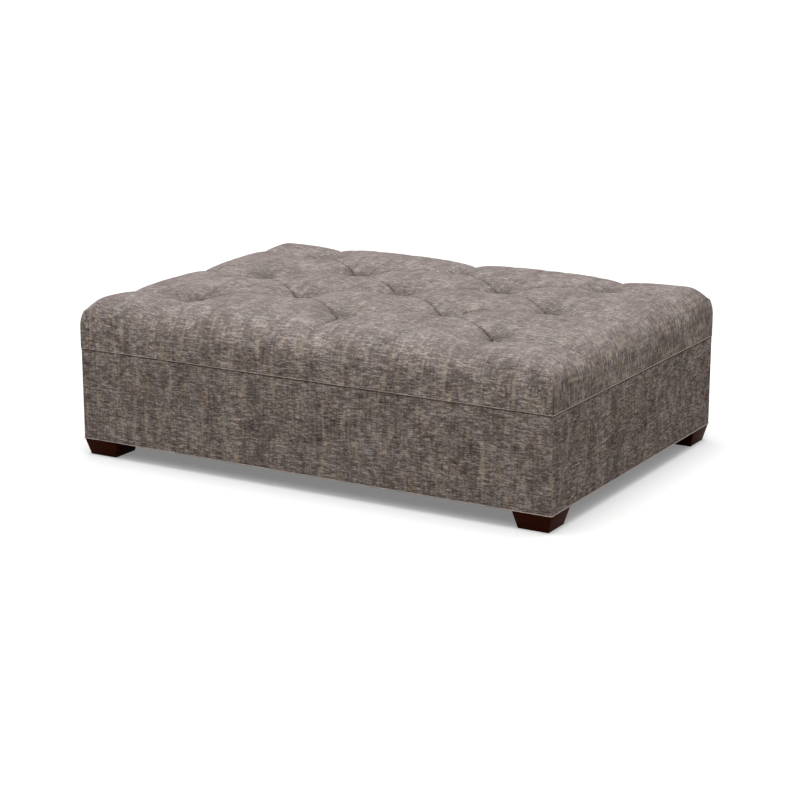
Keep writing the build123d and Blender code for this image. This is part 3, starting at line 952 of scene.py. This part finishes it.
def wood(name, dark, light, roughness, grain, along=0, specular=0.3):
    """Solid wood: long fibres along one axis, darker in the pores. Grain is their width in millimetres."""
    material, tree = new_material(name)
    place = add_node(tree, "ShaderNodeTexCoord").outputs["Object"]
    scale = [1 / (grain * MM)] * 3
    scale[along] /= fibre_length
    scaled = add_node(tree, "ShaderNodeMapping", Vector=place, Scale=scale)
    noise = add_node(tree, "ShaderNodeTexNoise", Vector=scaled.outputs[0], Scale=1.0, Detail=4.0,
                     Roughness=0.6)
    tone = add_node(tree, "ShaderNodeMix", colour_mix, Factor=noise.outputs[0], i6=srgb(dark), i7=srgb(light))
    shader = add_node(tree, "ShaderNodeBsdfPrincipled", Roughness=roughness,
                      **{"Base Color": tone.outputs[2], "Specular IOR Level": specular})
    add_node(tree, "ShaderNodeOutputMaterial", i0=shader.outputs[0])
    return material


def speckled(name, dark, light, grain, roughness=0.9, specular=0.1, metallic=0.0):
    """A finish whose tone varies from grain to grain. Grain is their size in millimetres."""
    material, tree = new_material(name)
    place = add_node(tree, "ShaderNodeTexCoord").outputs["Object"]
    noise = add_node(tree, "ShaderNodeTexNoise", Vector=place, Scale=1 / (grain * MM), Detail=3.0,
                     Roughness=0.6)
    share = add_node(tree, "ShaderNodeMapRange", Value=noise.outputs[0], **{"From Min": 0.3, "From Max": 0.7})
    tone = add_node(tree, "ShaderNodeMix", colour_mix, Factor=share.outputs[0], i6=srgb(dark), i7=srgb(light))
    bump = add_node(tree, "ShaderNodeBump", Height=noise.outputs[0], Strength=0.3, Distance=speckle_relief)
    shader = add_node(tree, "ShaderNodeBsdfPrincipled", Roughness=roughness, Metallic=metallic,
                      Normal=bump.outputs[0],
                      **{"Base Color": tone.outputs[2], "Specular IOR Level": specular})
    add_node(tree, "ShaderNodeOutputMaterial", i0=shader.outputs[0])
    return material


def finish(name, material):
    """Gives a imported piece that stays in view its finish."""
    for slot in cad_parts[name].material_slots:
        slot.material = material


def grain_axis(name):
    """The axis that a board is longest along."""
    low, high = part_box(name)
    return max(range(3), key=lambda k: high[k] - low[k])


make_camera()
make_stage()

# Chenille upholstery, woven of tufted yarns: a soft matt taupe, mottled in fine short dashes across the cloth
fabric = chenille("chenille_upholstery", tone_and_painted_light=0.965)
# The same chenille on the sides, with painted shade: the same mottle, a shade darker
side_chenille_painted_shade = chenille("chenille_painted_side_shade", tone_and_painted_light=0.865)
# The same chenille folded double, its edge rubbed even and painted lighter as a highlight:
# a thin pale line that marks each seam
folded = chenille("chenille_folded_edge_painted_highlight", tone_and_painted_light=1.65, worn=0.4)
# Lacquered beech, stained espresso: a red-brown near black, dull enough that only its fibres show faintly
espresso = wood("espresso_lacquered_beech", "200a03", "4a1e0d", 0.5, grain=3.0, specular=0.02)
# Steel, zinc-plated: a pale grey metal with a soft gleam, slightly mottled
zinc = speckled("zinc_plated_steel", "9fa3a6", "c9ccce", grain=2.0, roughness=0.35, specular=0.5,
                metallic=1.0)
# Pine, sawn: a dull warm yellow with darker fibres along the board
pine = [wood("sawn_pine_along_" + axis, "a87c4c", "dab482", 0.75, grain=4.0, along=k)
        for k, axis in enumerate("xyz")]
# Birch plywood, sanded: a pale cream-brown with broad faint fibres
birch = wood("birch_plywood", "b99666", "dfc59a", 0.7, grain=7.0)
# Beech dowel, turned: a close-grained light brown with a slight shine
beech = wood("beech_dowel", "b58a5a", "cfa77a", 0.65, grain=2.0)
# Nylon twine, waxed: a cream thread with a slight dull shine
twine = speckled("waxed_nylon_twine", "c9bb9c", "e6dcc4", grain=0.9, roughness=0.6)
# Tacking card, pressed: a flat mid-brown with specks of fibre
card = speckled("tacking_card", "9a8363", "b9a27f", grain=1.5)
# Non-woven cloth, bonded: a dull black with a fine felted mottle
dust_cloth = speckled("black_non_woven_cloth", "101010", "242424", grain=1.2)

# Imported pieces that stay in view
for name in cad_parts:
    if "rail" in name or "brace" in name or "block" in name:
        finish(name, pine[grain_axis(name)])
for name, material in {"top_deck": birch, "tuft_toggles": beech, "tuft_twines": twine, "tack_strip": card,
                       "dust_cover": dust_cloth, "deck_screws": zinc, "hanger_bolts": zinc,
                       "tee_nuts": zinc}.items():
    finish(name, material)

# Pieces made here, each with its material and a slot name, which nothing reads
pieces = []
top = make_top()
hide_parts("top_cover", "fibre_wrap", "seat_foam")
pieces.append((top, fabric, "upholstery"))
seam_flat = grid_lines(half_width, pitch_y, outer_row)[1][-1] + wall_height - seam_z
for side in sides:
    panel = make_panel(side, seam_flat)
    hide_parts(side + "_panel", side + "_pad")
    pieces.append((panel, side_chenille_painted_shade, "upholstery"))
for name in ("foot_front_left", "foot_front_right", "foot_back_left", "foot_back_right"):
    foot = make_foot(name)
    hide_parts(name)
    pieces.append((foot, espresso, "foot_finish"))
lip = fold_tree()
for name, level in (("seam", seam_z - fold_height / 2), ("hem", hem_z + fold_height / 2)):
    fold = make_fold(name + "_fold", lip, level, folded)
    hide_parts(name + "_welt")
    pieces.append((fold, folded, "welting"))
pieces.append((make_staples(zinc), zinc, "zinc_steel"))
for piece, material, slot in pieces:
    piece.data.materials.clear()
    piece.data.materials.append(material)
    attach(piece, "root")
